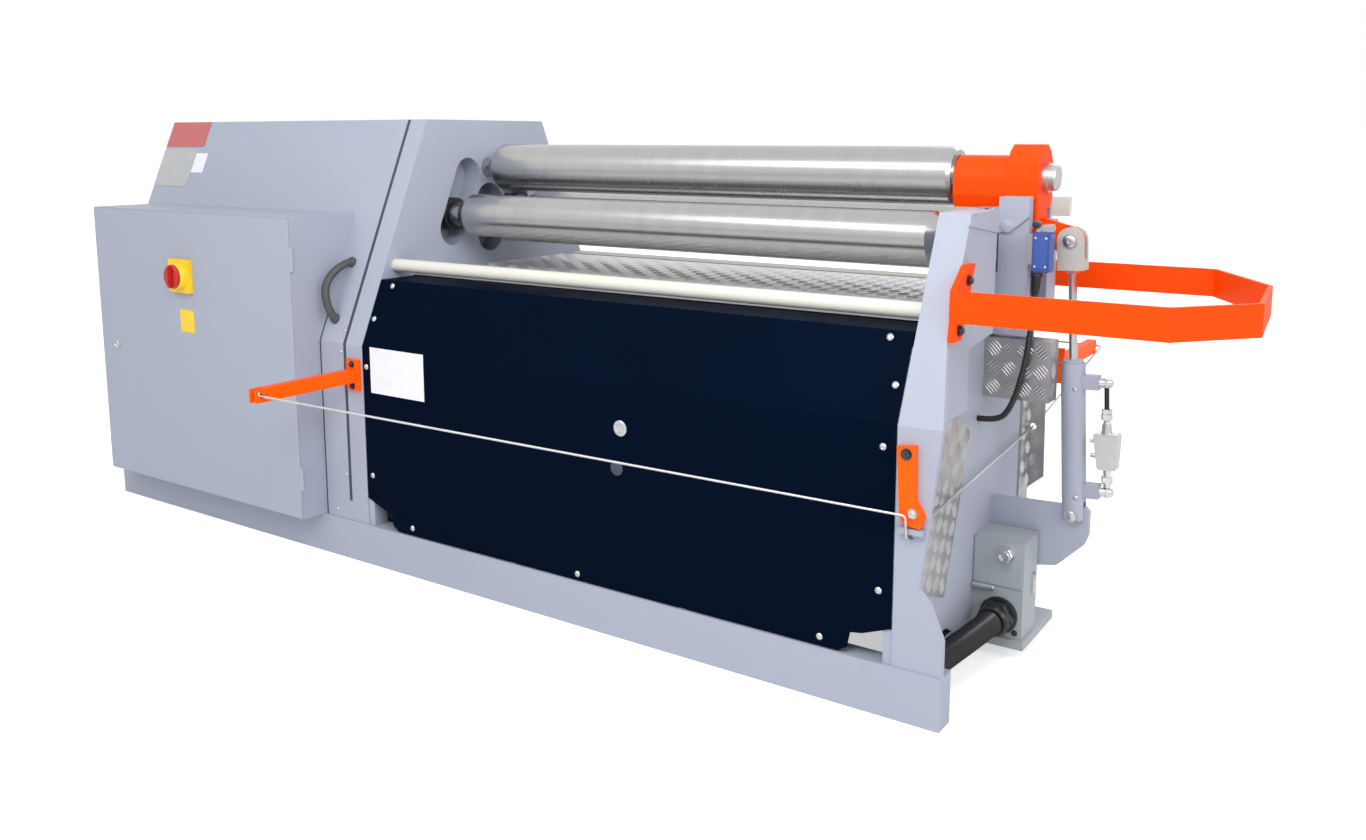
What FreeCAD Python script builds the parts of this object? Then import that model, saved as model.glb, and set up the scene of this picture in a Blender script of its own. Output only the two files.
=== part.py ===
import FreeCAD, Part
import Sketcher
import math
import os

# Driving dimensions of the four roll plate rolling machine
# Machine axes: x along the rolls from the left side plate, y back from the top roll, z up from the floor
DIMENSIONS = {
    "shift_x": 491.5,
    "shift_y": 0,
    "left_x": -1044,
    "plate_x": 58,
    "frame_x": 1478,
    "web_x": 1498,
    "column_x": 1540,
    "foot_x": 1575,
    "rail_front": -470,
    "rail_width": 50,
    "rail_top": 102,
    "front_y": -466,
    "bend_z": 559,
    "lean_y": -223,
    "top_z": 1114,
    "rear_y": 466,
    "rear_frame_y": 240,
    "groove_width": 11,
    "groove_depth": 6,
    "flap_x": -98,
    "flap_top": 622,
    "roll_start": 129.5,
    "roll_length": 1270,
    "roll_z": 988,
    "top_radius": 61.5,
    "bottom_drop": 138,
    "bottom_radius": 60,
    "side_y": 127,
    "side_drop": 121.5,
    "side_radius": 55,
    "side_angle": 66,
    "slot_down": 41.5,
    "slot_up": 114,
    "slot_radius": 44,
    "bottom_slot_radius": 50,
    "end_slot_up": 46,
    "end_slot_radius": 22.3,
    "carrier_gap": 0.3,
    "cabinet_left": -982,
    "cabinet_right": -110,
    "cabinet_front": -536,
    "cabinet_back": -330,
    "cabinet_foot": 102.3,
    "cabinet_top": 872,
    "sheet": 3,
    "knuckle_x": -105.5,
    "knuckle_y": -534.5,
    "knuckle_radius": 4,
    "cover_left": 60,
    "cover_right": 1475,
    "cover_foot": 105,
    "cover_top": 718,
    "cover_back": -287,
    "deck_top": 726,
    "deck_back": 320,
    "deck_end": 395,
    "bar_y": -345,
    "bar_z": 750,
    "bar_radius": 16,
    "web_top": 930,
    "web_seat": 918,
    "web_foot": 60,
    "column_back": -162,
    "pivot_x": 1530,
    "pivot_z": 893,
    "pivot_radius": 10,
    "lever_x": 1640,
    "lever_z": 863,
    "base_pin_x": 1670,
    "base_pin_z": 303,
    "yoke_left": 1405,
    "block_left": 1517,
    "block_right": 1580,
    "bore_radius": 36.05,
    "bearing_radius": 36,
    "journal_radius": 26,
    "bore_end": 1530,
    "journal_end": 1524,
    "wall_inner": 56,
    "wall_outer": 72,
    "guard_foot": 741,
    "guard_top": 798,
    "guard_sheet": 8,
    "guard_front_y": -400,
    "guard_rear_y": 247,
    "guard_front_x": 1910,
    "guard_tip_x": 2027,
    "guard_tip_y": -262,
    "guard_side_x": 2005,
    "guard_side_y": 6,
    "guard_back_x": 1870,
    "barrel_radius": 24,
    "barrel_top": 617,
    "rod_radius": 8,
}


class Size:
    """A length together with the sheet formula that drives it."""

    def __init__(self, value, text):
        self.value = value
        self.text = text

    def __add__(self, other):
        other = size(other)
        return Size(self.value + other.value, f"({self.text} + {other.text})")

    def __radd__(self, other):
        return size(other) + self

    def __sub__(self, other):
        other = size(other)
        return Size(self.value - other.value, f"({self.text} - {other.text})")

    def __rsub__(self, other):
        return size(other) - self

    def __mul__(self, other):
        other = size(other)
        return Size(self.value * other.value, f"({self.text} * {other.text})")

    def __rmul__(self, other):
        return size(other) * self

    def __truediv__(self, other):
        other = size(other)
        return Size(self.value / other.value, f"({self.text} / {other.text})")

    def __neg__(self):
        return Size(-self.value, f"(0 - {self.text})")


def size(number):
    if isinstance(number, Size):
        return number
    return Size(float(number), f"({number})")


def cosine(angle):
    return Size(math.cos(math.radians(angle.value)), f"cos({angle.text})")


def sine(angle):
    return Size(math.sin(math.radians(angle.value)), f"sin({angle.text})")


doc = FreeCAD.newDocument("plate_rolls")
sheet = doc.addObject("Spreadsheet::Sheet", "dims")
for row, (alias, number) in enumerate(DIMENSIONS.items(), start=1):
    sheet.set(f"A{row}", alias)
    sheet.set(f"B{row}", f"{number:g}")
    sheet.setAlias(f"B{row}", alias)
doc.recompute()

D = {alias: Size(float(number), f"dims.{alias}") for alias, number in DIMENSIONS.items()}
PLANES = {"top": "XY_Plane", "front": "XZ_Plane", "side": "YZ_Plane"}
parts = {}


# Sub-parts and features
def place(obj):
    obj.setExpression("Placement.Base.x", "0 - dims.shift_x")
    obj.setExpression("Placement.Base.y", "0 - dims.shift_y")


def add_body(name):
    body = doc.addObject("PartDesign::Body", name)
    body.Label = name
    place(body)
    parts[name] = body
    return body


def add_shape(name, shape):
    """A swept sub-part, whose shape is made by Part functions."""
    obj = doc.addObject("Part::Feature", name)
    obj.Label = name
    obj.Shape = shape
    place(obj)
    parts[name] = obj
    return obj


def sketch_on(body, plane, level):
    sketch = body.newObject("Sketcher::SketchObject", f"{body.Name}_sketch")
    support = next(f for f in body.Origin.OriginFeatures if f.Role == PLANES[plane])
    sketch.AttachmentSupport = [(support, "")]
    sketch.MapMode = "FlatFace"
    offset = -level if plane == "front" else level
    sketch.setExpression("AttachmentOffset.Base.z", offset.text)
    return sketch


def pin_point(sketch, index, position, point):
    """Ties one point of the sketch to its two sheet-driven coordinates."""
    for kind, length in zip(("DistanceX", "DistanceY"), point):
        if abs(length.value) < 1e-9 and length.text == "(0)":
            link = "PointOnObject"
            axis = -2 if kind == "DistanceX" else -1
            sketch.addConstraint(Sketcher.Constraint(link, index, position, axis))
        else:
            number = sketch.addConstraint(
                Sketcher.Constraint(kind, -1, 1, index, position, length.value))
            sketch.setExpression(f"Constraints[{number}]", length.text)


def draw_polygon(sketch, points):
    points = [(size(a), size(b)) for a, b in points]
    spots = [FreeCAD.Vector(a.value, b.value, 0) for a, b in points]
    first = sketch.GeometryCount
    total = len(spots)
    for i in range(total):
        sketch.addGeometry(Part.LineSegment(spots[i], spots[(i + 1) % total]))
    for i in range(total):
        after = first + (i + 1) % total
        sketch.addConstraint(Sketcher.Constraint("Coincident", first + i, 2, after, 1))
    for i, point in enumerate(points):
        pin_point(sketch, first + i, 1, point)


def draw_circle(sketch, centre_a, centre_b, radius):
    a, b, r = size(centre_a), size(centre_b), size(radius)
    spot = FreeCAD.Vector(a.value, b.value, 0)
    index = sketch.addGeometry(Part.Circle(spot, FreeCAD.Vector(0, 0, 1), r.value))
    pin_point(sketch, index, 3, (a, b))
    number = sketch.addConstraint(Sketcher.Constraint("Radius", index, r.value))
    sketch.setExpression(f"Constraints[{number}]", r.text)


def draw(sketch, outlines):
    for outline in outlines:
        if outline[0] == "circle":
            draw_circle(sketch, *outline[1:])
        else:
            draw_polygon(sketch, outline)


def pad(body, plane, near, far, *outlines):
    """Adds material between two levels along the plane's axis."""
    near, far = size(near), size(far)
    sketch = sketch_on(body, plane, far if plane == "front" else near)
    draw(sketch, outlines)
    feature = body.newObject("PartDesign::Pad", f"{body.Name}_pad")
    feature.Profile = sketch
    feature.setExpression("Length", (far - near).text)
    body.Tip = feature
    return feature


def cut(body, plane, near, far, *outlines):
    """Removes material between two levels along the plane's axis."""
    near, far = size(near), size(far)
    sketch = sketch_on(body, plane, near if plane == "front" else far)
    draw(sketch, outlines)
    feature = body.newObject("PartDesign::Pocket", f"{body.Name}_pocket")
    feature.Profile = sketch
    feature.setExpression("Length", (far - near).text)
    body.Tip = feature
    return feature


def turn(body, centre_y, centre_z, profile):
    """Adds a solid turned about a line along x; profile points are (x, radius)."""
    sketch = sketch_on(body, "front", size(centre_y))
    start, end = size(profile[0][0]), size(profile[-1][0])
    centre_z = size(centre_z)
    points = [(start, centre_z)]
    points += [(x, centre_z + radius) for x, radius in profile]
    points += [(end, centre_z)]
    draw_polygon(sketch, points)
    feature = body.newObject("PartDesign::Revolution", f"{body.Name}_turned")
    feature.Profile = sketch
    last = sketch.GeometryCount - 1
    feature.ReferenceAxis = (sketch, [f"Edge{last + 1}"])
    body.Tip = feature
    return feature


def rectangle(a0, b0, a1, b1):
    return [(a0, b0), (a1, b0), (a1, b1), (a0, b1)]


def obround(a0, b0, a1, b1, radius):
    """The straight part of a slot between two end circles, which are drawn apart."""
    a0, b0, a1, b1, radius = (size(v) for v in (a0, b0, a1, b1, radius))
    span = math.hypot(a1.value - a0.value, b1.value - b0.value)
    across = Size((b1.value - b0.value) / span, f"(({b1.text} - {b0.text}) / {span:.6f})")
    along = Size((a1.value - a0.value) / span, f"(({a1.text} - {a0.text}) / {span:.6f})")
    return [
        (a0 + radius * across, b0 - radius * along),
        (a1 + radius * across, b1 - radius * along),
        (a1 - radius * across, b1 + radius * along),
        (a0 - radius * across, b0 + radius * along),
    ]


def cut_slot(body, plane, near, far, a0, b0, a1, b1, radius):
    cut(body, plane, near, far, obround(a0, b0, a1, b1, radius))
    cut(body, plane, near, far, ("circle", a0, b0, radius))
    cut(body, plane, near, far, ("circle", a1, b1, radius))


def sweep(points, radius, bend):
    """A round bar or cord along points, with tangent arcs of the bend radius at the corners."""
    spots = [FreeCAD.Vector(*p) for p in points]
    edges = []
    start = spots[0]
    for i in range(1, len(spots) - 1):
        before = (spots[i - 1] - spots[i]).normalize()
        after = (spots[i + 1] - spots[i]).normalize()
        half = before.getAngle(after) / 2
        reach = bend / math.tan(half)
        enter = spots[i] + before * reach
        leave = spots[i] + after * reach
        middle = (before + after).normalize()
        crown = spots[i] + middle * (bend / math.sin(half) - bend)
        edges.append(Part.LineSegment(start, enter).toShape())
        edges.append(Part.Arc(enter, crown, leave).toShape())
        start = leave
    edges.append(Part.LineSegment(start, spots[-1]).toShape())
    path = Part.Wire(edges)
    heading = (spots[1] - spots[0]).normalize()
    ring = Part.Wire(Part.Circle(spots[0], heading, radius).toShape())
    return path.makePipeShell([ring], True, False)


# Lines of the side profile
lean = (D["lean_y"] - D["front_y"]) / (D["top_z"] - D["bend_z"])


def slope_y(z):
    return D["front_y"] + lean * (size(z) - D["bend_z"])


side_z = D["roll_z"] - D["side_drop"]
bottom_z = D["roll_z"] - D["bottom_drop"]
step_y = cosine(D["side_angle"])
step_z = sine(D["side_angle"])
roll_end = D["roll_start"] + D["roll_length"]

profile = [
    (D["front_y"], D["rail_top"]),
    (D["front_y"], D["bend_z"]),
    (D["lean_y"], D["top_z"]),
    (-D["lean_y"], D["top_z"]),
    (D["rear_y"], D["bend_z"]),
    (D["rear_y"], D["rail_top"]),
]

# Base frame
base = add_body("base_frame")
rail_back = D["rail_front"] + D["rail_width"]
plinth_left = D["left_x"] + 4
rail_under = D["rail_top"] - 8
pad(base, "top", 0, D["rail_top"], rectangle(plinth_left, D["rail_front"], D["foot_x"], rail_back))
pad(base, "top", 0, D["rail_top"],
    rectangle(plinth_left, D["rear_y"] - D["rail_width"], D["plate_x"], D["rear_y"]))
for beam_x in (plinth_left, D["plate_x"] - 50):
    pad(base, "top", 0, D["rail_top"],
        rectangle(beam_x, rail_back, beam_x + 50, D["rear_y"] - D["rail_width"]))
pad(base, "top", 0, D["rail_top"],
    rectangle(D["plate_x"], D["rear_frame_y"] - 50, D["web_x"], D["rear_frame_y"]))
pad(base, "top", rail_under, D["rail_top"],
    rectangle(plinth_left + 50, rail_back, D["plate_x"] - 50, D["rear_y"] - D["rail_width"]))
pad(base, "top", 0, D["web_foot"],
    rectangle(D["frame_x"] - 50, rail_back, D["frame_x"], D["rear_frame_y"] - 50))

# Machine housing
housing = add_body("housing")
pad(housing, "side", D["left_x"], 0, profile)
inner = D["groove_depth"]
groove = [
    (D["front_y"], 153),
    (D["front_y"], D["bend_z"]),
    (D["lean_y"], D["top_z"]),
    (-D["lean_y"], D["top_z"]),
    (-D["lean_y"], D["top_z"] - inner),
    (D["lean_y"] + inner * 0.7, D["top_z"] - inner),
    (D["front_y"] + inner, D["bend_z"] - 1),
    (D["front_y"] + inner, 153),
]
cut(housing, "side", -D["groove_width"], 0, groove)
flap = [
    (D["front_y"], D["rail_top"]),
    (D["front_y"], D["bend_z"]),
    (slope_y(D["flap_top"]), D["flap_top"]),
    (slope_y(D["flap_top"]) + inner, D["flap_top"]),
    (D["front_y"] + inner, D["bend_z"] - 1),
    (D["front_y"] + inner, D["rail_top"]),
]
cut(housing, "side", D["flap_x"] - 3, D["flap_x"] + 3, flap)
cut(housing, "front", D["front_y"], D["cabinet_back"],
    rectangle(D["cabinet_left"], D["cabinet_foot"], D["cabinet_right"], D["cabinet_top"]))

# Left side plate with its bearing slots
left_plate = add_body("left_plate")
pad(left_plate, "side", 0, D["plate_x"], profile)
cut(left_plate, "side", 6, D["plate_x"], ("circle", 0, D["roll_z"], 27.4))
for sign in (-1, 1):
    low_y = sign * (D["side_y"] + D["slot_down"] * step_y)
    low_z = side_z - D["slot_down"] * step_z
    high_y = sign * (D["side_y"] - D["slot_up"] * step_y)
    high_z = side_z + D["slot_up"] * step_z
    cut_slot(left_plate, "side", 0, D["plate_x"], low_y, low_z, high_y, high_z, D["slot_radius"])
bottom_low = bottom_z - 41
bottom_high = bottom_z + 46
cut_slot(left_plate, "side", 0, D["plate_x"], 0, bottom_low, 0, bottom_high, D["bottom_slot_radius"])

# Cabinet
cabinet = add_body("cabinet")
pad(cabinet, "front", D["cabinet_front"] + D["sheet"], D["cabinet_back"],
    rectangle(D["cabinet_left"], D["cabinet_foot"], D["cabinet_right"], D["cabinet_top"]))
cut(cabinet, "front", D["cabinet_front"] + D["sheet"], D["cabinet_back"] - D["sheet"],
    rectangle(D["cabinet_left"] + 14, D["cabinet_foot"] + 14, D["cabinet_right"] - 14, D["cabinet_top"] - 14))
door = add_body("cabinet_door")
pad(door, "front", D["cabinet_front"], D["cabinet_front"] + 2.7,
    rectangle(D["cabinet_left"] + 2, D["cabinet_foot"] + 2, D["cabinet_right"] - 2, D["cabinet_top"] - 2))
for hinge_z in (180, 740):
    pad(door, "top", hinge_z, hinge_z + 60, ("circle", D["knuckle_x"], D["knuckle_y"], D["knuckle_radius"]))
    pad(door, "top", hinge_z, hinge_z + 60,
        rectangle(D["cabinet_right"] - 4, D["cabinet_front"], D["knuckle_x"], D["cabinet_front"] + 2.7))

isolator = add_body("isolator_plate")
pad(isolator, "front", D["cabinet_front"] - 12, D["cabinet_front"], rectangle(-611, 655, -521, 745))
knob = add_body("isolator_knob")
pad(knob, "front", D["cabinet_front"] - 26, D["cabinet_front"] - 12, ("circle", -566, 700, 32))
pad(knob, "front", D["cabinet_front"] - 46, D["cabinet_front"] - 26, rectangle(-576, 669, -556, 731))

# Screwed covers, posts and deck
cover_frame = add_body("cover_frame")
posts = (D["plate_x"], size(530), size(1000), D["frame_x"] - 20)
deck_foot = D["deck_top"] - 6
for post_x in posts:
    pad(cover_frame, "side", post_x, post_x + 20, [
        (D["front_y"] + 3.3, D["rail_top"]),
        (D["front_y"] + 3.3, D["bend_z"] - 3),
        (slope_y(690) + 4, 690),
        (D["deck_end"] - 30, 690),
        (D["deck_end"] - 30, 665),
        (D["rear_frame_y"] - 10, 640),
        (slope_y(640) + 44, 640),
        (D["front_y"] + 43, D["bend_z"] - 13),
        (D["front_y"] + 43, D["rail_top"]),
    ])
    pad(cover_frame, "top", D["rail_top"], 690,
        rectangle(post_x, D["rear_frame_y"] - 43, post_x + 20, D["rear_frame_y"] - 3.3))
beams = ((-320, D["cover_top"] - 3.3), (-60, deck_foot), (130, deck_foot), (250, deck_foot), (340, deck_foot - 1))
for beam_y, beam_top in beams:
    pad(cover_frame, "top", 670, beam_top,
        rectangle(D["plate_x"], beam_y, D["frame_x"], beam_y + 25))

front_cover = add_body("front_cover")
fold_y = slope_y(D["cover_top"])
cover_outline = [
    (D["front_y"], D["cover_foot"]),
    (D["front_y"], D["bend_z"]),
    (fold_y, D["cover_top"]),
    (D["cover_back"], D["cover_top"]),
    (D["cover_back"], D["cover_top"] - D["sheet"]),
    (fold_y + 2, D["cover_top"] - D["sheet"]),
    (D["front_y"] + D["sheet"], D["bend_z"] - 0.7),
    (D["front_y"] + D["sheet"], D["cover_foot"]),
]
pad(front_cover, "side", D["cover_left"], D["cover_right"], cover_outline)
notch = [(-1, -1), (107, -1), (107, 0), (89, 11), (83, 42), (58, 46), (3, 67), (-1, 67)]
foot = D["cover_foot"]
cut(front_cover, "front", D["front_y"] - 1, D["front_y"] + 5,
    [(D["cover_left"] + a, foot + b) for a, b in notch])
cut(front_cover, "front", D["front_y"] - 1, D["front_y"] + 5,
    [(D["cover_right"] - a, foot + b) for a, b in notch])

rear_cover = add_body("rear_cover")
rear_flat = D["rear_frame_y"]
pad(rear_cover, "side", D["cover_left"], D["cover_right"], [
    (rear_flat, D["cover_foot"]),
    (rear_flat, 600),
    (D["deck_end"], 650),
    (D["deck_end"], deck_foot - 1),
    (D["deck_end"] - 3, deck_foot - 1),
    (D["deck_end"] - 3, 652),
    (rear_flat - 3, 602),
    (rear_flat - 3, D["cover_foot"]),
])

deck = add_body("deck")
pad(deck, "top", deck_foot, D["deck_top"],
    rectangle(D["plate_x"] + 1, D["cover_back"] + 1, D["frame_x"] - 1, D["deck_back"]))
deck_strip = add_body("deck_strip")
pad(deck_strip, "top", deck_foot - 1, D["deck_top"] + 2,
    rectangle(D["plate_x"] + 1, D["deck_back"] + 1, D["frame_x"] - 1, D["deck_end"]))

front_bar = add_body("front_bar")
turn(front_bar, D["bar_y"], D["bar_z"], [(D["plate_x"], D["bar_radius"]), (D["frame_x"], D["bar_radius"])])

# Right side frame
web = add_body("right_web")
web_outline = [
    (D["front_y"] + 12, D["rail_top"]),
    (D["front_y"] + 12, D["bend_z"]),
    (slope_y(D["web_top"]) + 12, D["web_top"]),
    (-75, D["web_top"]),
    (-75, D["web_seat"]),
    (75, D["web_seat"]),
    (75, D["web_top"]),
    (D["rear_frame_y"], D["web_top"]),
    (D["rear_frame_y"], D["rail_top"]),
    (D["rear_frame_y"] - 50, D["rail_top"]),
    (D["rear_frame_y"] - 50, D["web_foot"]),
    (-166, D["web_foot"]),
    (-247, D["rail_top"]),
]
pad(web, "side", D["frame_x"], D["web_x"], web_outline)
for sign in (-1, 1):
    low_y = sign * (D["side_y"] + D["slot_down"] * step_y)
    low_z = side_z - D["slot_down"] * step_z
    high_y = sign * (D["side_y"] - D["end_slot_up"] * step_y)
    high_z = side_z + D["end_slot_up"] * step_z
    cut_slot(web, "side", D["frame_x"], D["web_x"], low_y, low_z, high_y, high_z, D["end_slot_radius"])
cut_slot(web, "side", D["frame_x"], D["web_x"], 0, bottom_low, 0, bottom_z + 5, D["end_slot_radius"])

column = add_body("right_column")
column_outline = [
    (D["front_y"], D["bend_z"]),
    (slope_y(D["web_top"]), D["web_top"]),
    (D["column_back"], D["web_top"]),
    (D["column_back"], 690),
    (-290, 677),
    (-290, D["bend_z"]),
]
pad(column, "side", D["web_x"], D["column_x"], column_outline)
flange_outline = [
    (D["frame_x"], D["rail_top"]),
    (D["foot_x"], D["rail_top"]),
    (D["foot_x"], 172),
    (1548, 236),
    (1526, 259),
    (1562, D["bend_z"]),
    (D["frame_x"], D["bend_z"]),
]
pad(column, "front", D["front_y"], D["front_y"] + 12, flange_outline)
cut(column, "front", D["front_y"] - 1, D["front_y"] + 13, ("circle", 1508, 358.6, 7))
slope_outline = [
    (D["front_y"], D["bend_z"]),
    (slope_y(D["web_top"]), D["web_top"]),
    (slope_y(D["web_top"]) + 12, D["web_top"]),
    (D["front_y"] + 12, D["bend_z"]),
]
pad(column, "side", D["frame_x"], D["column_x"], slope_outline)
wing_outline = [
    (D["front_y"], D["bend_z"]),
    (slope_y(700), 700),
    (slope_y(700) + 12, 700),
    (D["front_y"] + 12, D["bend_z"]),
]
pad(column, "side", D["column_x"], 1562, wing_outline)
cut(column, "front", D["front_y"] - 5, D["front_y"] + 90, [(1562.5, D["bend_z"]), (1562.5, 701), (D["column_x"], 701)])

rear_column = add_body("rear_column")
pad(rear_column, "side", D["web_x"], D["column_x"],
    rectangle(160, 660, D["rear_frame_y"], D["web_top"] - 40))

walls = add_body("pivot_walls")
wall_outline = [
    (D["web_x"], 672),
    (D["foot_x"], 672),
    (D["foot_x"], 952),
    (1521, 952),
    (1521, 930),
    (D["web_x"], 930),
]
for near, far in ((-D["wall_outer"], -D["wall_inner"]), (D["wall_inner"], D["wall_outer"])):
    pad(walls, "front", near, far, wall_outline)
pad(walls, "front", -D["wall_inner"], D["wall_inner"], ("circle", D["pivot_x"], D["pivot_z"], D["pivot_radius"]))
pad(walls, "front", -D["wall_outer"], D["wall_outer"], rectangle(D["web_x"], 672, D["web_x"] + 8, 740))

# Drop end yoke
yoke = add_body("yoke")
axis_z = D["roll_z"]
pad(yoke, "side", D["yoke_left"], D["block_right"], ("circle", 0, axis_z - 6, 50))
pad(yoke, "side", D["yoke_left"], D["block_right"],
    [(-40, axis_z - 62), (40, axis_z - 62), (50, axis_z - 36), (50, axis_z - 6), (-50, axis_z - 6), (-50, axis_z - 36)])
pad(yoke, "side", D["block_left"], D["block_right"], [
    (-50, 950), (50, 950), (50, 985), (48, 1015), (33, 1040), (10, 1054),
    (-10, 1054), (-33, 1040), (-48, 1015), (-50, 985)])
pad(yoke, "front", -46, 22, [
    (1514, 906), (1540, 921), (1540, 952), (D["block_right"], 952),
    (D["block_right"], 905), (1570, 886), (1538, 873)])
pad(yoke, "front", -46, 46, ("circle", D["pivot_x"], D["pivot_z"], 22))
pad(yoke, "front", -7, 7, [
    (1545, 915), (1591, 905), (1646, 890), (1660, 876), (1660, 850), (1641, 839), (1602, 844), (1545, 876)])
pad(yoke, "front", -7, 7, ("circle", D["lever_x"], D["lever_z"], 24))
cut(yoke, "side", D["yoke_left"], D["bore_end"], ("circle", 0, axis_z, D["bore_radius"]))
cut(yoke, "side", D["yoke_left"], D["bore_end"],
    rectangle(-D["bore_radius"], 924, D["bore_radius"], axis_z))
cut(yoke, "front", -60, 60, ("circle", D["pivot_x"], D["pivot_z"], D["pivot_radius"] + 0.1))
cut(yoke, "front", -60, 60, ("circle", D["lever_x"], D["lever_z"], 15))
cap = add_body("yoke_cap")
turn(cap, 0, axis_z, [(D["block_right"], 30), (D["block_right"] + 10, 30), (D["block_right"] + 10, 27), (D["block_right"] + 23, 27), (D["block_right"] + 26, 24)])

# Rolls
top_roll = add_body("top_roll")
turn(top_roll, 0, axis_z, [
    (8, 27), (88, 27), (88, 34), (D["roll_start"] - 5, D["top_radius"]),
    (roll_end - 8, D["top_radius"]), (roll_end, D["top_radius"] - 7), (roll_end, 45),
    (roll_end + 3, 45), (roll_end + 3, D["bearing_radius"]), (1500, D["bearing_radius"]),
    (1500, D["journal_radius"]), (D["journal_end"], D["journal_radius"]),
])


def side_profile(radius):
    return [
        (12, 24), (64, 24), (64, 32), (98, 32), (98, 38), (D["roll_start"], radius),
        (roll_end, radius), (roll_end + 24, 38), (roll_end + 24, 26), (1472, 26), (1472, 16), (1494, 16),
    ]


front_roll = add_body("front_roll")
turn(front_roll, -D["side_y"], side_z, side_profile(D["side_radius"]))
rear_roll = add_body("rear_roll")
turn(rear_roll, D["side_y"], side_z, side_profile(D["side_radius"]))
bottom_roll = add_body("bottom_roll")
turn(bottom_roll, 0, bottom_z, side_profile(D["bottom_radius"]))

# Bearing carriers of the three moving rolls
gap = D["carrier_gap"]
carriers = (
    ("front", -D["side_y"], side_z, D["slot_radius"]),
    ("rear", D["side_y"], side_z, D["slot_radius"]),
    ("bottom", size(0), bottom_z, D["bottom_slot_radius"]),
)
for label, centre_y, centre_z, radius in carriers:
    carrier = add_body(f"{label}_carrier_left")
    pad(carrier, "side", 2, D["plate_x"] - 2, ("circle", centre_y, centre_z, radius - gap))
    cut(carrier, "side", 10, D["plate_x"], ("circle", centre_y, centre_z, 24.1))
    carrier = add_body(f"{label}_carrier_right")
    pad(carrier, "side", D["frame_x"] + 1, D["web_x"] - 1,
        ("circle", centre_y, centre_z, D["end_slot_radius"] - gap))
    cut(carrier, "side", D["frame_x"], D["web_x"], ("circle", centre_y, centre_z, 16.1))

# Cylinder that swings the yoke, on its outrigger plate
tilt = math.atan2(D["lever_x"].value - D["base_pin_x"].value, D["lever_z"].value - D["base_pin_z"].value)
outrigger = add_body("outrigger")
pad(outrigger, "front", -8, 8, [
    (D["web_x"], 180), (1600, 180), (1641, 187), (1694, 240), (1702, 262), (1702, 312), (1694, 320), (D["web_x"], 313)])
cut(outrigger, "front", -9, 9, ("circle", D["base_pin_x"], D["base_pin_z"], 8.1))


def turned_at(profile_points):
    """A turned shape standing on the base pin, leaning with the cylinder."""
    points = [FreeCAD.Vector(radius, 0, height) for height, radius in profile_points]
    points = [FreeCAD.Vector(0, 0, points[0].z)] + points + [FreeCAD.Vector(0, 0, points[-1].z)]
    face = Part.Face(Part.makePolygon(points + [points[0]]))
    return face.revolve(FreeCAD.Vector(0, 0, 0), FreeCAD.Vector(0, 0, 1), 360)


def stand_on_pin(name, shape):
    """A sub-part of the cylinder, drawn upright on its base pin and leaned towards the lever."""
    obj = add_shape(name, shape)
    obj.Placement = FreeCAD.Placement(
        FreeCAD.Vector(0, 0, 0), FreeCAD.Rotation(FreeCAD.Vector(0, 1, 0), math.degrees(tilt)))
    obj.setExpression("Placement.Base.x", "dims.base_pin_x - dims.shift_x")
    obj.setExpression("Placement.Base.z", "dims.base_pin_z")


def box_at(x0, y0, z0, x1, y1, z1):
    return Part.makeBox(x1 - x0, y1 - y0, z1 - z0, FreeCAD.Vector(x0, y0, z0))


def bar_y(x, z, y0, y1, radius):
    return Part.makeCylinder(radius, y1 - y0, FreeCAD.Vector(x, y0, z), FreeCAD.Vector(0, 1, 0))


barrel_length = D["barrel_top"].value - D["base_pin_z"].value
barrel_radius = D["barrel_radius"].value
barrel = turned_at([(-10, barrel_radius), (barrel_length, barrel_radius)])
barrel = barrel.cut(turned_at([(40, 17), (barrel_length - 20, 17)]))
barrel = barrel.cut(turned_at([(barrel_length - 21, 8.1), (barrel_length + 1, 8.1)]))
barrel = barrel.cut(box_at(-30, -10, -11, 30, 10, 28))
barrel = barrel.fuse(bar_y(0, 0, -23, 23, 8))
barrel = barrel.fuse(box_at(20, -14, 38, 52, 14, 66))
barrel = barrel.fuse(box_at(20, -14, 262, 52, 14, 290))
stand_on_pin("cylinder_barrel", barrel.removeSplitter())

pin_reach = math.hypot(D["lever_x"].value - D["base_pin_x"].value, D["lever_z"].value - D["base_pin_z"].value)
rod = turned_at([(140, 8), (pin_reach - 50, 8)])
rod = rod.fuse(turned_at([(140, 16.9), (156, 16.9)]))
rod = rod.fuse(box_at(-26, -19, pin_reach - 58, 26, 19, pin_reach - 36))
for jaw in ((-19, -9), (9, 19)):
    rod = rod.fuse(box_at(-26, jaw[0], pin_reach - 40, 26, jaw[1], pin_reach + 2))
    rod = rod.fuse(bar_y(0, pin_reach + 2, jaw[0], jaw[1], 26))
rod = rod.fuse(bar_y(0, pin_reach, -23, 23, 7))
stand_on_pin("cylinder_rod", rod.removeSplitter())

valve = box_at(46, -20, 100, 90, 20, 175)
valve = valve.fuse(sweep([(52, 0, 52), (76, 0, 52), (76, 0, 101)], 7, 8))
valve = valve.fuse(sweep([(52, 0, 276), (76, 0, 276), (76, 0, 174)], 5, 8))
stand_on_pin("cylinder_valve", valve.removeSplitter())

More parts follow.
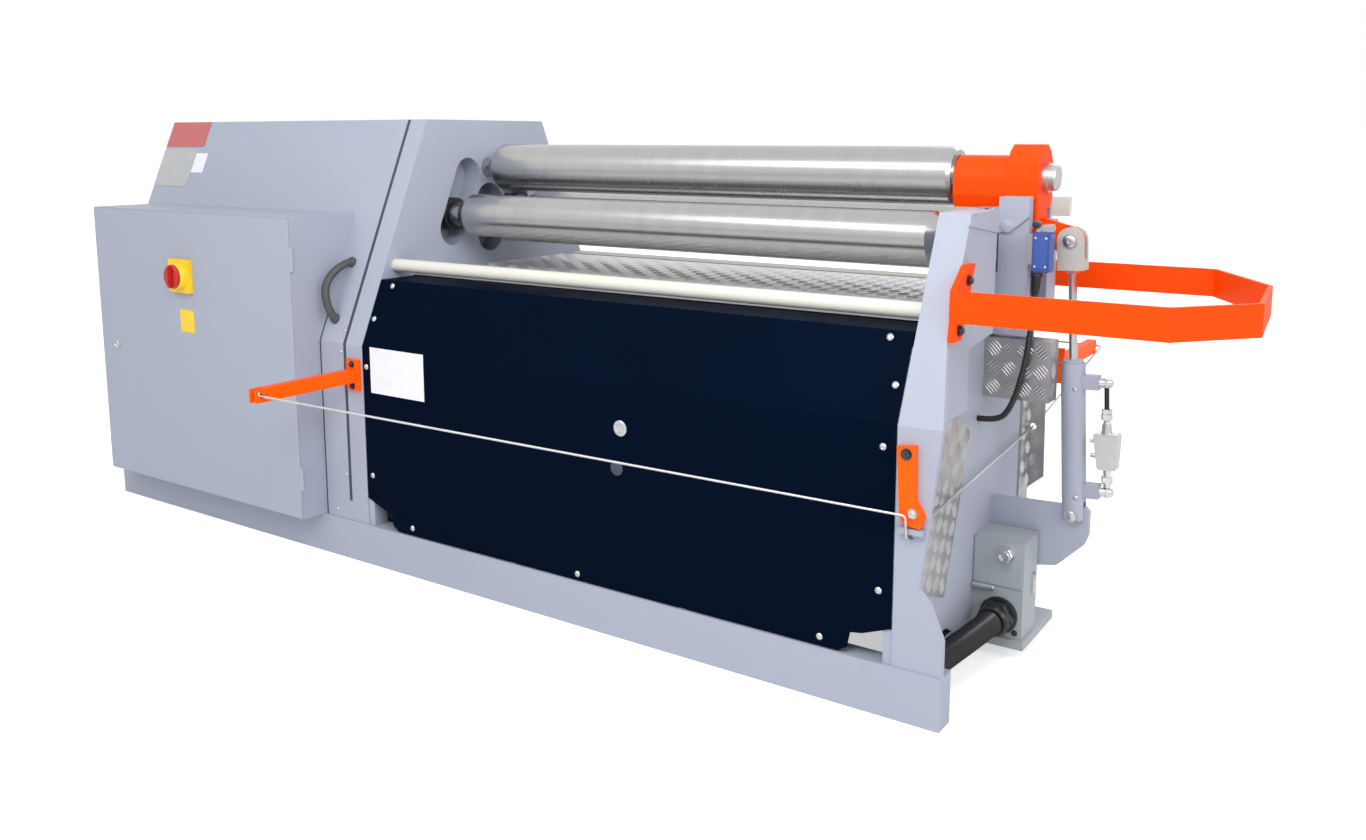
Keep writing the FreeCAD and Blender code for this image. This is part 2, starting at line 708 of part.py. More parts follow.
# Orange guard loop
guard = add_body("guard_loop")
outer = [
    (D["column_x"] + 12, D["guard_front_y"]),
    (D["guard_front_x"], D["guard_front_y"]),
    (D["guard_tip_x"], D["guard_tip_y"]),
    (D["guard_side_x"], D["guard_side_y"]),
    (D["guard_back_x"], D["guard_rear_y"]),
    (D["column_x"], D["guard_rear_y"]),
]
inset = [
    (D["column_x"], D["guard_rear_y"] - 8),
    (D["guard_back_x"] - 4.6, D["guard_rear_y"] - 8),
    (D["guard_side_x"] - 8.2, D["guard_side_y"] - 1.5),
    (D["guard_tip_x"] - 8.4, D["guard_tip_y"] + 2.5),
    (D["guard_front_x"] - 3.6, D["guard_front_y"] + 8),
    (D["column_x"] + 12, D["guard_front_y"] + 8),
]
pad(guard, "top", D["guard_foot"], D["guard_top"], outer + inset)
plate_outline = [
    (slope_y(706) - 4, 706), (D["guard_front_y"], D["guard_foot"]), (D["guard_front_y"], D["guard_top"]),
    (slope_y(840) - 4, 840), (slope_y(840) + 36, 840), (slope_y(706) + 36, 706)]
pad(guard, "side", D["column_x"], D["column_x"] + 12.5, plate_outline)

# Wire arms and the trip wire
arm_front = add_body("wire_arm_front")
pad(arm_front, "front", D["front_y"] - 8, D["front_y"], rectangle(7, 446, 52, 524))
pad(arm_front, "front", -762, D["front_y"] - 8, rectangle(17, 468, 42, 500))
cut(arm_front, "side", 23, 36, rectangle(-763, 467, -735, 501))
arm_back = add_body("wire_arm_back")
rear_flat = D["rear_frame_y"]
pad(arm_back, "front", rear_flat, rear_flat + 8, rectangle(D["frame_x"], 520, 1568, 600))
pad(arm_back, "front", rear_flat + 8, 537, rectangle(1540, 545, 1561, 577))
arm_left = add_body("wire_arm_rear_left")
pad(arm_left, "front", D["rear_y"], D["rear_y"] + 8, rectangle(7, 500, 52, 590))
pad(arm_left, "front", D["rear_y"] + 8, 762, rectangle(17, 530, 42, 566))
lever = add_body("trip_lever")
pad(lever, "front", D["front_y"] - 14, D["front_y"], [
    (1482, 524), (1517, 528), (1519, 429), (1536, 402), (1530, 378), (1498, 381), (1490, 400)])
wire_spots = [(43, -750, 484), (1505, -486, 401), (1508, -486, 357), (1508, 252, 417), (1572, 546, 561), (42.2, 750, 548)]
wire = sweep(wire_spots, 2.5, 8)
add_shape("trip_wire", wire)

# Handle on the narrow cover
tilt_y = math.cos(math.atan(lean.value))
tilt_z = math.sin(math.atan(lean.value))


def off_slope(x, z, distance):
    """A point that stands off the front slope, square to it."""
    return (x, slope_y(z).value - distance * tilt_y, z + distance * tilt_z)


handle_rise = [(752, 0.2), (752, 30), (718, 48), (648, 48), (614, 30), (614, 0.2)]
handle_spots = [off_slope(-62, z, rise) for z, rise in handle_rise]
add_shape("cover_handle", sweep(handle_spots, 9, 14))

# Limit switch, junction box, conduit and tread plates
switch = add_body("limit_switch")
pad(switch, "front", -92, -58, rectangle(D["foot_x"], 806, 1614, 885))
pad(switch, "front", -84, -66, [(1582, 885), (1606, 885), (1602, 900), (1586, 900)])
cable_spots = [
    (1594, -75, 804.7), (1594, -94, 690), (1584, -104, 600), (1564, -110, 530), (1540, -112, 503),
    (1498.2, -112, 503)]
cable = sweep(cable_spots, 6.5, 20)
add_shape("switch_cable", cable)

junction = add_body("junction_box")
pad(junction, "top", 46, 254, rectangle(D["web_x"], -102, 1604, -14))
pad(junction, "top", 28, 46, rectangle(D["web_x"] + 1, -110, 1610, 95))
conduit = sweep([(1556, -102.2, 92), (1556, -160, 92), (1506, -385, 66), (1506, -419.8, 66)], 26, 50)
add_shape("conduit", conduit)

tread_box = add_body("tread_box")
pad(tread_box, "front", -87, -34, rectangle(D["web_x"], 545, 1632, 668))
cut(tread_box, "front", -84, -34, rectangle(D["web_x"] + 3, 548, 1629, 665))


def strip_ring(x, z):
    """The strip's folded section beside the flange edge at one height."""
    corners = [(0, -468), (21, -447), (21, -400), (18, -400), (18, -446), (-2, -466)]
    spots = [FreeCAD.Vector(x + dx, y, z) for dx, y in corners]
    return Part.makePolygon(spots + [spots[0]])


strip_slant = Part.makeLoft([strip_ring(1528.7, 262), strip_ring(1568, 590)], True, True)
add_shape("tread_strip_front", strip_slant)
strip_rear = add_body("tread_strip_rear")
pad(strip_rear, "side", D["web_x"], D["web_x"] + 4, [(165, 545), (236, 545), (236, 268), (165, 266)])
pad(strip_rear, "front", 232, 236, [(D["web_x"], 545), (1532, 545), (1536, 301), (D["web_x"], 268)])
cut(strip_rear, "front", 231, 237, ("circle", 1508, 415.5, 7))

bracket = add_body("rear_bracket")
pad(bracket, "top", 897, 939, rectangle(D["web_x"], 222, 1568, 240))

# Finished model and files
doc.recompute()
for obj in doc.Objects:
    if "Invalid" in obj.State or "Error" in obj.State:
        raise RuntimeError(f"{obj.Name} {obj.State}")
os.makedirs("parts", exist_ok=True)
box = FreeCAD.BoundBox()
for name, obj in parts.items():
    if obj.Shape.isNull() or not obj.Shape.isValid():
        raise RuntimeError(f"{name} has no valid shape")
    if len(obj.Shape.Solids) != 1:
        print("solids", name, len(obj.Shape.Solids))
    box.add(obj.Shape.BoundBox)
    obj.Shape.exportStep(f"parts/{name}.step")
print("box", box.XMin, box.XMax, box.YMin, box.YMax, box.ZMin, box.ZMax, "parts", len(parts))
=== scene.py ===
import math

import bmesh
import bpy
from mathutils import Matrix, Vector


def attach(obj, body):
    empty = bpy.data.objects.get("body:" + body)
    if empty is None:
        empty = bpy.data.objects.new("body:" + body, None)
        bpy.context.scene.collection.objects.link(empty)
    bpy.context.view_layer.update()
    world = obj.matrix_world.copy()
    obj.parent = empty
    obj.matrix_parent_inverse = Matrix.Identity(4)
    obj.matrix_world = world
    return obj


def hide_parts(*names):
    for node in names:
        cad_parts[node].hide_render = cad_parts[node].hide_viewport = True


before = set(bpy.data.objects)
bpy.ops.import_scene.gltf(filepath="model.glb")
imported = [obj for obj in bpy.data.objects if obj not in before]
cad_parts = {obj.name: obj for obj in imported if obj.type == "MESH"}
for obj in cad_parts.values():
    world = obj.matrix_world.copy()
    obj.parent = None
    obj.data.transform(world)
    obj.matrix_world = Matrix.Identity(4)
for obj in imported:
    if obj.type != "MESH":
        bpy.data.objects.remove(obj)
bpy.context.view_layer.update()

MM = 0.001
SHIFT_X = 491.5

# Places on the machine in millimetres, measured from the left side plate, the roll axis and the floor
FRONT_Y = -466
BEND_Z = 559
TOP_Z = 1114
SLOPE = (466 - 223) / (TOP_Z - BEND_Z)
SLOPE_ANGLE = math.atan(SLOPE)
CABINET_FRONT = -536
DECK_TOP = 726
STRIP_FOOT = (-414, 230)
STRIP_TOP = (-291, 548)
STRIP_WIDTH = 150
CABLE_ROUTE = [
    (1594, -75, 804.7), (1594, -94, 690), (1584, -104, 600),
    (1564, -110, 530), (1540, -112, 503), (1498.2, -112, 503)]
CONDUIT_ROUTE = [(1556, -102.2, 92), (1556, -160, 92), (1506, -385, 66), (1506, -419.8, 66)]
PIN = (1670, 0, 303)
CYLINDER_TILT = math.atan2(1640 - 1670, 863 - 303)


def at(x, y, z):
    """A machine point in millimetres as a point of the frame in metres."""
    return Vector(((x - SHIFT_X) * MM, y * MM, z * MM))


def slope_y(z):
    return FRONT_Y + SLOPE * (z - BEND_Z)


# Camera at the photograph's viewing angle
def make_camera():
    camera = bpy.data.cameras.new("camera")
    camera.sensor_width = 36
    camera.lens = 30.595
    camera.shift_y = -0.0781
    holder = bpy.data.objects.new("camera", camera)
    bpy.context.collection.objects.link(holder)
    holder.location = at(2290.41, -2357.91, 1066.70)
    holder.rotation_euler = (math.radians(90 - 8.59), 0, math.radians(34.013))
    bpy.context.scene.camera = holder


# Lamps, world and floor
def make_lamp(name, place, target, width, power):
    lamp = bpy.data.lights.new(name, "AREA")
    lamp.shape = "RECTANGLE"
    lamp.size = width
    lamp.size_y = width * 0.6
    lamp.energy = power
    holder = bpy.data.objects.new(name, lamp)
    bpy.context.collection.objects.link(holder)
    holder.location = place
    holder.rotation_euler = (Vector(target) - Vector(place)).to_track_quat("-Z", "Y").to_euler()


class Value:
    """A node socket whose arithmetic adds Math nodes."""

    def __init__(self, tree, socket):
        self.tree = tree
        self.socket = socket

    def maths(self, operation, *operands):
        return self.tree.add("ShaderNodeMath", {"operation": operation}, *operands)

    def __add__(self, other):
        return self.maths("ADD", self, other)

    def __radd__(self, other):
        return self.maths("ADD", other, self)

    def __sub__(self, other):
        return self.maths("SUBTRACT", self, other)

    def __rsub__(self, other):
        return self.maths("SUBTRACT", other, self)

    def __mul__(self, other):
        return self.maths("MULTIPLY", self, other)

    def __rmul__(self, other):
        return self.maths("MULTIPLY", other, self)

    def __pow__(self, other):
        return self.maths("POWER", self, other)


class Tree:
    """The nodes of one finish."""

    def __init__(self, owner):
        self.nodes = owner.node_tree.nodes
        self.links = owner.node_tree.links
        self.nodes.clear()

    def plug(self, socket, value):
        if isinstance(value, Value):
            self.links.new(value.socket, socket)
        elif isinstance(value, tuple) and len(value) == 3 and socket.type == "RGBA":
            socket.default_value = (*value, 1)
        else:
            socket.default_value = value

    def add(self, kind, settings=None, *values, output=0, **named):
        node = self.nodes.new(kind)
        for key, setting in (settings or {}).items():
            if key == "stops":
                self.set_stops(node.color_ramp, setting)
            else:
                setattr(node, key, setting)
        for index, value in enumerate(values):
            self.plug(node.inputs[index], value)
        for key, value in named.items():
            self.plug(node.inputs[key.replace("_", " ")], value)
        return Value(self, node.outputs[output])

    @staticmethod
    def set_stops(ramp, stops):
        while len(ramp.elements) < len(stops):
            ramp.elements.new(0.5)
        for element, (place, tone) in zip(ramp.elements, stops):
            element.position = place
            element.color = (tone, tone, tone, 1)

    def point(self, stretch=(1, 1, 1)):
        place = self.add("ShaderNodeTexCoord", output=3)
        return self.add("ShaderNodeMapping", {}, place, Scale=stretch)

    def noise(self, scale, detail=3, stretch=(1, 1, 1), roughness=0.5):
        return self.add("ShaderNodeTexNoise", {}, Vector=self.point(stretch), Scale=scale,
                        Detail=detail, Roughness=roughness)

    def ramp(self, value, *stops):
        return self.add("ShaderNodeValToRGB", {"stops": stops}, value)

    def mix(self, factor, first, second):
        node = self.nodes.new("ShaderNodeMix")
        node.data_type = "RGBA"
        self.plug(node.inputs[0], factor)
        self.plug(node.inputs[6], first)
        self.plug(node.inputs[7], second)
        return Value(self, node.outputs[2])

    def bump(self, height, depth, strength=1.0):
        return self.add("ShaderNodeBump", {}, Height=height, Distance=depth, Strength=strength)


def finish_of(name, colour, roughness, metallic=0.0, build=None, specular=None):
    """A finish: build(tree) may return sockets that vary over the surface."""
    material = bpy.data.materials.new(name)
    material.use_nodes = True
    tree = Tree(material)
    varied = {"Base Color": colour, "Roughness": roughness, "Metallic": metallic}
    varied.update(build(tree) if build else {})
    if specular is not None:
        varied["Specular IOR Level"] = specular
    shader = tree.nodes.new("ShaderNodeBsdfPrincipled")
    for key, value in varied.items():
        tree.plug(shader.inputs[key], value)
    output = tree.nodes.new("ShaderNodeOutputMaterial")
    tree.links.new(shader.outputs[0], output.inputs[0])
    material.diffuse_color = (*colour, 1)
    return material


def shade(colour, factor):
    return tuple(channel * factor for channel in colour)


def paint(name, colour, roughness=0.42, variation=0.05, peel=0.00006, specular=0.35):
    """Sprayed enamel: faint cloudiness, orange peel and a little dust in the gloss."""

    def build(tree):
        cloud = tree.noise(2.2, 4)
        fine = tree.noise(420, 2)
        grime = tree.ramp(tree.noise(9, 6, roughness=0.65), (0.45, 0.0), (0.8, 1.0))
        colour_cloud = tree.mix(cloud, shade(colour, 1 - variation), shade(colour, 1 + variation))
        return {
            "Base Color": tree.mix(grime * 0.10, colour_cloud, shade(colour, 0.80)),
            "Roughness": roughness + (cloud - 0.5) * 0.10 + grime * 0.05,
            "Normal": tree.bump(fine, peel),
        }

    return finish_of(name, colour, roughness, build=build, specular=specular)


def turned_steel(name, colour, roughness=0.24):
    """Ground steel with fine marks that run round the roll."""

    def build(tree):
        marks = tree.noise(1.0, 4, stretch=(520, 3, 3), roughness=0.7)
        bands = tree.noise(1.0, 3, stretch=(26, 1, 1))
        smear = tree.noise(14, 5, stretch=(0.5, 1.6, 1.6))
        tone = tree.mix(bands, shade(colour, 0.86), shade(colour, 1.08))
        return {
            "Base Color": tree.mix(smear * 0.35, tone, shade(colour, 0.72)),
            "Roughness": roughness - 0.10 + marks * 0.14 + smear * 0.08,
            "Normal": tree.bump(marks, 0.00004),
        }

    return finish_of(name, colour, roughness, 1.0, build=build)


def plated(name, colour, roughness=0.34, grain=60, metallic=1.0):
    """Zinc plating with a soft mottle."""

    def build(tree):
        mottle = tree.noise(grain, 4)
        return {
            "Base Color": tree.mix(mottle, shade(colour, 0.82), shade(colour, 1.06)),
            "Roughness": roughness - 0.08 + mottle * 0.18,
            "Normal": tree.bump(tree.noise(700, 2), 0.00003),
        }

    return finish_of(name, colour, roughness, metallic, build=build)


def plastic(name, colour, roughness=0.4, metallic=0.0, grain=900, depth=0.00004):
    def build(tree):
        wear = tree.noise(30, 4)
        return {
            "Base Color": tree.mix(wear, shade(colour, 0.86), shade(colour, 1.12)),
            "Roughness": roughness - 0.06 + wear * 0.14,
            "Normal": tree.bump(tree.noise(grain, 2), depth),
        }

    return finish_of(name, colour, roughness, metallic, build=build)


LILAC = (0.372, 0.402, 0.492)
ORANGE = (1.0, 0.066, 0.0)
NAVY = (0.0012, 0.0044, 0.0150)

finishes = {
    "lilac": paint("lilac_enamel", LILAC, 0.50, 0.02),
    "orange": paint("orange_enamel", ORANGE, 0.45, 0.01, specular=0.12),
    "arm_orange": paint("pale_orange_enamel", (1.0, 0.115, 0.002), 0.45, 0.01, specular=0.12),
    "navy": paint("navy_enamel", NAVY, 0.42, 0.20, specular=0.01),
    "cream": paint("cream_enamel", (0.66, 0.66, 0.60), 0.38, 0.03),
    "beige": paint("beige_enamel", (0.52, 0.50, 0.45), 0.55, 0.10),
    "box_grey": paint("pale_grey_enamel", (0.36, 0.40, 0.43), 0.45, 0.04),
    "roll": turned_steel("turned_roll_steel", (0.53, 0.52, 0.52)),
    "aluminium": plated("tread_aluminium", (0.50, 0.50, 0.50), 0.34, 24, metallic=0.9),
    # The deck's copy of the tread aluminium is paler and less metallic: painted light that lifts the deck where it
    # reflects the dark rolls
    "painted_light_tread": plated("tread_aluminium_painted_bright", (0.80, 0.80, 0.81), 0.42, 24, metallic=0.55),
    "zinc": plated("zinc_plate", (0.66, 0.66, 0.66), 0.30),
    "clevis": paint("clevis_enamel", (0.46, 0.45, 0.43), 0.45, 0.05),
    "dark_steel": plated("dark_steel", (0.09, 0.095, 0.11), 0.42),
    # Slate colour for the strips in the housing's gaps and for the slit and holes on the column's wall, painted shade
    # where those openings are; it also dresses the cover's plug
    "groove": plastic("slate_plug_and_painted_gap_shade", (0.040, 0.052, 0.082), 0.6),
    "chrome": plated("bright_steel", (0.74, 0.74, 0.75), 0.16, 30),
    "black": plastic("black_plastic", (0.018, 0.018, 0.019), 0.38),
    "handle": plastic("grey_handle_plastic", (0.065, 0.065, 0.068), 0.55),
    "rubber": plastic("black_rubber", (0.008, 0.008, 0.009), 0.30),
    "blue": plastic("blue_switch_plastic", (0.045, 0.10, 0.36), 0.36),
    "red": plastic("red_plastic", (0.50, 0.016, 0.014), 0.32),
    "yellow": plastic("yellow_plastic", (0.90, 0.60, 0.02), 0.40),
    "white": plastic("white_plate", (0.80, 0.82, 0.88), 0.42),
    "plate_red": plastic("pale_red_plate", (0.52, 0.13, 0.13), 0.5),
    "plate_grey": plastic("pale_grey_plate", (0.44, 0.45, 0.46), 0.5),
}

node_finish = {
    "front_cover": "navy", "rear_cover": "navy", "front_bar": "cream", "rear_bracket": "cream",
    "deck": "painted_light_tread", "deck_strip": "beige", "tread_box": "aluminium",
    "tread_strip_front": "aluminium", "tread_strip_rear": "aluminium",
    "yoke": "orange", "guard_loop": "orange", "yoke_cap": "zinc",
    "wire_arm_front": "arm_orange", "wire_arm_back": "arm_orange", "wire_arm_rear_left": "arm_orange",
    "trip_lever": "arm_orange", "trip_wire": "zinc",
    "top_roll": "roll", "front_roll": "roll", "rear_roll": "roll", "bottom_roll": "roll",
    "cylinder_rod": "clevis", "cylinder_valve": "zinc",
    "isolator_plate": "yellow", "isolator_knob": "red",
    "cover_handle": "handle", "limit_switch": "blue", "switch_cable": "rubber",
    "junction_box": "box_grey", "conduit": "rubber",
}


def dress_nodes():
    for name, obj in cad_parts.items():
        kind = node_finish.get(name, "dark_steel" if "carrier" in name else "lilac")
        obj.data.materials.clear()
        obj.data.materials.append(finishes[kind])


# Meshes for the small pieces
def piece(name, mesh, body, kind):
    obj = bpy.data.objects.new(name, mesh)
    bpy.context.collection.objects.link(obj)
    if not mesh.materials:
        mesh.materials.append(finishes[kind])
    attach(obj, body)
    return obj


def finish_mesh(name, bm, smooth_angle=35):
    bmesh.ops.recalc_face_normals(bm, faces=bm.faces[:])
    mesh = bpy.data.meshes.new(name)
    bm.to_mesh(mesh)
    bm.free()
    for polygon in mesh.polygons:
        polygon.use_smooth = True
    mesh.set_sharp_from_angle(angle=math.radians(smooth_angle))
    return mesh


def add_turned(bm, base, axis, profile, sides=32):
    """A closed turned form: profile is (height, radius) pairs in millimetres along axis from base."""
    turn = Vector((0, 0, 1)).rotation_difference(Vector(axis)).to_matrix()
    rings = []
    for height, radius in profile:
        ring = []
        for step in range(sides):
            angle = 2 * math.pi * step / sides
            spot = Vector((radius * math.cos(angle), radius * math.sin(angle), height)) * MM
            ring.append(bm.verts.new(base + turn @ spot))
        rings.append(ring)
    for lower, upper in zip(rings, rings[1:]):
        for step in range(sides):
            after = (step + 1) % sides
            bm.faces.new((lower[step], lower[after], upper[after], upper[step]))
    bm.faces.new(rings[0][::-1])
    bm.faces.new(rings[-1])


def add_block(bm, centre, size, turn=None, bevel=0.0):
    """A box of size in millimetres about centre, with softened edges."""
    made = bmesh.ops.create_cube(bm, size=1)["verts"]
    bmesh.ops.scale(bm, verts=made, vec=Vector(size) * MM)
    if turn is not None:
        bmesh.ops.rotate(bm, verts=made, matrix=turn)
    bmesh.ops.translate(bm, verts=made, vec=centre)
    if bevel:
        edges = {edge for vert in made for edge in vert.link_edges}
        bmesh.ops.bevel(bm, geom=list(edges), offset=bevel * MM, segments=2, affect="EDGES")


SLOPE_TURN = Matrix.Rotation(-SLOPE_ANGLE, 3, "X")
SLOPE_NORMAL = SLOPE_TURN @ Vector((0, -1, 0))


def on_slope(x, z, lift=0.0):
    return at(x, slope_y(z), z) + SLOPE_NORMAL * lift * MM


# Cable and conduit
def route_points(name, spots):
    """The places along the smooth line that has the cord's chosen points as its control points."""
    curve = bpy.data.curves.new(name, "CURVE")
    curve.dimensions = "3D"
    curve.resolution_u = 24
    spline = curve.splines.new("NURBS")
    spline.points.add(len(spots) - 1)
    for point, spot in zip(spline.points, spots):
        point.co = (*at(*spot), 1)
    spline.order_u = 3
    spline.use_endpoint_u = True
    holder = bpy.data.objects.new(name, curve)
    bpy.context.collection.objects.link(holder)
    line = bpy.data.meshes.new_from_object(holder)
    points = [vertex.co.copy() for vertex in line.vertices]
    bpy.data.objects.remove(holder)
    return points


def step_along(points, step):
    """Evenly spaced places and headings along a line of points."""
    lengths = [0.0]
    for first, second in zip(points, points[1:]):
        lengths.append(lengths[-1] + (second - first).length)
    count = max(2, round(lengths[-1] / step))
    places = []
    index = 0
    for number in range(count + 1):
        target = lengths[-1] * number / count
        while index < len(points) - 2 and lengths[index + 1] < target:
            index += 1
        run = lengths[index + 1] - lengths[index]
        share = (target - lengths[index]) / run if run else 0
        heading = (points[index + 1] - points[index]).normalized()
        places.append((points[index].lerp(points[index + 1], share), heading))
    return places, lengths[-1]


def ribbed_cord(node, spots, radius, pitch, depth, sides):
    """A corrugated cord along the route's smooth line, in place of its CAD node."""
    points = route_points(f"{node}_route", spots)
    places, length = step_along(points, pitch / 4 * MM)
    bm = bmesh.new()
    across = places[0][1].orthogonal().normalized()
    rings = []
    for number, (centre, heading) in enumerate(places):
        across = (across - heading * across.dot(heading)).normalized()
        other = heading.cross(across)
        wide = radius - (0, depth * 0.5, depth, depth * 0.5)[number % 4]
        ring = []
        for step in range(sides):
            angle = 2 * math.pi * step / sides
            spot = across * math.cos(angle) + other * math.sin(angle)
            ring.append(bm.verts.new(centre + spot * wide * MM))
        rings.append(ring)
    for lower, upper in zip(rings, rings[1:]):
        for step in range(sides):
            after = (step + 1) % sides
            bm.faces.new((lower[step], lower[after], upper[after], upper[step]))
    bm.faces.new(rings[0][::-1])
    bm.faces.new(rings[-1])
    obj = piece(node + "_ribbed", finish_mesh(node + "_ribbed", bm, 60), "frame", "rubber")
    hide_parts(node)


def dress_cords():
    ribbed_cord("switch_cable", CABLE_ROUTE, 6.5, 3.2, 0.9, 16)
    ribbed_cord("conduit", CONDUIT_ROUTE, 26, 6.0, 3.0, 36)


# Repeating pieces by Geometry Nodes
def scatter(name, spots, shape, kind):
    """Copies shape onto spots, each a (place, direction) pair, and returns one plain mesh."""
    cloud = bpy.data.meshes.new(f"{name}_spots")
    cloud.from_pydata([tuple(place) for place, _ in spots], [], [])
    lean = cloud.attributes.new("lean", "FLOAT_VECTOR", "POINT")
    for index, (_, direction) in enumerate(spots):
        lean.data[index].vector = direction
    holder = bpy.data.objects.new(f"{name}_spots", cloud)
    model = bpy.data.objects.new(f"{name}_model", shape)
    for obj in (holder, model):
        bpy.context.collection.objects.link(obj)
    tree = bpy.data.node_groups.new(name, "GeometryNodeTree")
    tree.interface.new_socket("Geometry", in_out="INPUT", socket_type="NodeSocketGeometry")
    source = tree.interface.new_socket("Model", in_out="INPUT", socket_type="NodeSocketObject")
    size = tree.interface.new_socket("Size", in_out="INPUT", socket_type="NodeSocketFloat")
    tree.interface.new_socket("Geometry", in_out="OUTPUT", socket_type="NodeSocketGeometry")
    entry = tree.nodes.new("NodeGroupInput")
    attribute = tree.nodes.new("GeometryNodeInputNamedAttribute")
    attribute.data_type = "FLOAT_VECTOR"
    attribute.inputs["Name"].default_value = "lean"
    align = tree.nodes.new("FunctionNodeAlignRotationToVector")
    align.axis = "Z"
    info = tree.nodes.new("GeometryNodeObjectInfo")
    copies = tree.nodes.new("GeometryNodeInstanceOnPoints")
    solid = tree.nodes.new("GeometryNodeRealizeInstances")
    dressed = tree.nodes.new("GeometryNodeSetMaterial")
    dressed.inputs["Material"].default_value = finishes[kind]
    leave = tree.nodes.new("NodeGroupOutput")
    link = tree.links.new
    link(entry.outputs["Model"], info.inputs["Object"])
    link(attribute.outputs["Attribute"], align.inputs["Vector"])
    link(entry.outputs["Geometry"], copies.inputs["Points"])
    link(info.outputs["Geometry"], copies.inputs["Instance"])
    link(align.outputs["Rotation"], copies.inputs["Rotation"])
    link(entry.outputs["Size"], copies.inputs["Scale"])
    link(copies.outputs["Instances"], solid.inputs["Geometry"])
    link(solid.outputs["Geometry"], dressed.inputs["Geometry"])
    link(dressed.outputs["Geometry"], leave.inputs[0])
    modifier = holder.modifiers.new(name, "NODES")
    modifier.node_group = tree
    modifier[source.identifier] = model
    modifier[size.identifier] = 1.0
    bpy.context.view_layer.update()
    depsgraph = bpy.context.evaluated_depsgraph_get()
    mesh = bpy.data.meshes.new_from_object(holder.evaluated_get(depsgraph))
    mesh.name = name
    for obj in (holder, model):
        bpy.data.objects.remove(obj)
    return mesh


def button_head(radius, height):
    """A domed screw head with a shallow round socket."""
    bm = bmesh.new()
    add_turned(bm, Vector(), (0, 0, 1), [
        (-0.3, radius), (height * 0.35, radius), (height * 0.75, radius * 0.82),
        (height, radius * 0.5), (height * 0.55, radius * 0.42)], 24)
    return finish_mesh("button_head", bm)


def hex_head(radius, height):
    """A hexagonal bolt head on its washer, with the shank's end."""
    bm = bmesh.new()
    add_turned(bm, Vector(), (0, 0, 1), [(-0.2, radius * 1.35), (1.4, radius * 1.35), (1.4, radius * 1.2)], 28)
    add_turned(bm, Vector(), (0, 0, 1), [(1.2, radius), (height * 0.86, radius), (height, radius * 0.86)], 6)
    add_turned(bm, Vector(), (0, 0, 1), [(height - 0.2, radius * 0.55), (height + 2.2, radius * 0.5)], 20)
    return finish_mesh("hex_head", bm)


def tread_bars(name, across, along, pitch=36.0):
    """Raised bars of tread plate: across and along are (start, end) in millimetres of a flat sheet."""
    bm = bmesh.new()
    bar = pitch * 0.44
    rise = 1.4
    rows = max(1, round((along[1] - along[0]) / pitch))
    columns = max(1, round((across[1] - across[0]) / pitch))
    for row in range(rows):
        for column in range(columns):
            cx = across[0] + (column + 0.5) * (across[1] - across[0]) / columns
            cy = along[0] + (row + 0.5) * (along[1] - along[0]) / rows
            heading = math.radians(45 if (row + column) % 2 else -45)
            for strip in range(5):
                shift = (strip - 2) * pitch * 0.165
                length = bar * (1.0 - 0.12 * abs(strip - 2))
                lie = Vector((math.cos(heading), math.sin(heading), 0))
                side = Vector((-math.sin(heading), math.cos(heading), 0))
                middle = Vector((cx, cy, 0)) + side * shift
                half = pitch * 0.062
                tips = [middle - lie * length, middle + lie * length]
                rim = [middle - lie * length * 0.4 - side * half, middle + lie * length * 0.4 - side * half,
                       middle + lie * length * 0.4 + side * half, middle - lie * length * 0.4 + side * half]
                top = [middle - lie * length * 0.6 + Vector((0, 0, rise)),
                       middle + lie * length * 0.6 + Vector((0, 0, rise))]
                ring = [tips[0], rim[0], rim[1], tips[1], rim[2], rim[3]]
                verts = [bm.verts.new(spot * MM) for spot in ring]
                ridge = [bm.verts.new(spot * MM) for spot in top]
                faces = ((0, 1, "a"), (1, 2, "b", "a"), (2, 3, "b"), (3, 4, "b"), (4, 5, "a", "b"), (5, 0, "a"))
                table = {"a": ridge[0], "b": ridge[1]}
                for face in faces:
                    bm.faces.new([verts[i] if isinstance(i, int) else table[i] for i in face])
                bm.faces.new(verts[::-1])
    return finish_mesh(name, bm, 60)


def moved(mesh, matrix):
    mesh.transform(matrix)
    return mesh


def basis(origin, across, along):
    """The matrix that lays a flat sheet at origin with its x along across and y along along."""
    first = Vector(across).normalized()
    second = Vector(along).normalized()
    third = first.cross(second)
    matrix = Matrix((first, second, third)).transposed().to_4x4()
    matrix.translation = origin
    return matrix


def dress_front_strip():
    """The slanted strip of tread plate on the web, behind the foot's edge."""
    foot_y, foot_z = STRIP_FOOT
    top_y, top_z = STRIP_TOP
    slant = (0, top_y - foot_y, top_z - foot_z)
    length = math.hypot(slant[1], slant[2])
    lean = math.atan2(slant[1], slant[2])
    bm = bmesh.new()
    half = STRIP_WIDTH / 2
    middle = at(1500, (foot_y + top_y) / 2 + half * math.cos(lean), (foot_z + top_z) / 2 - half * math.sin(lean))
    add_block(bm, middle, (3.2, STRIP_WIDTH, length), Matrix.Rotation(-lean, 3, "X"), 0.6)
    sheet = piece("front_strip", finish_mesh("front_strip", bm), "frame", "aluminium")
    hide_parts("tread_strip_front")
    bars = tread_bars("front_strip_tread", (2, STRIP_WIDTH - 2), (3, length - 3), 37)
    across = (0, math.cos(lean), -math.sin(lean))
    moved(bars, basis(at(1501.6, foot_y, foot_z), across, slant))
    piece("front_strip_tread", bars, "frame", "aluminium")


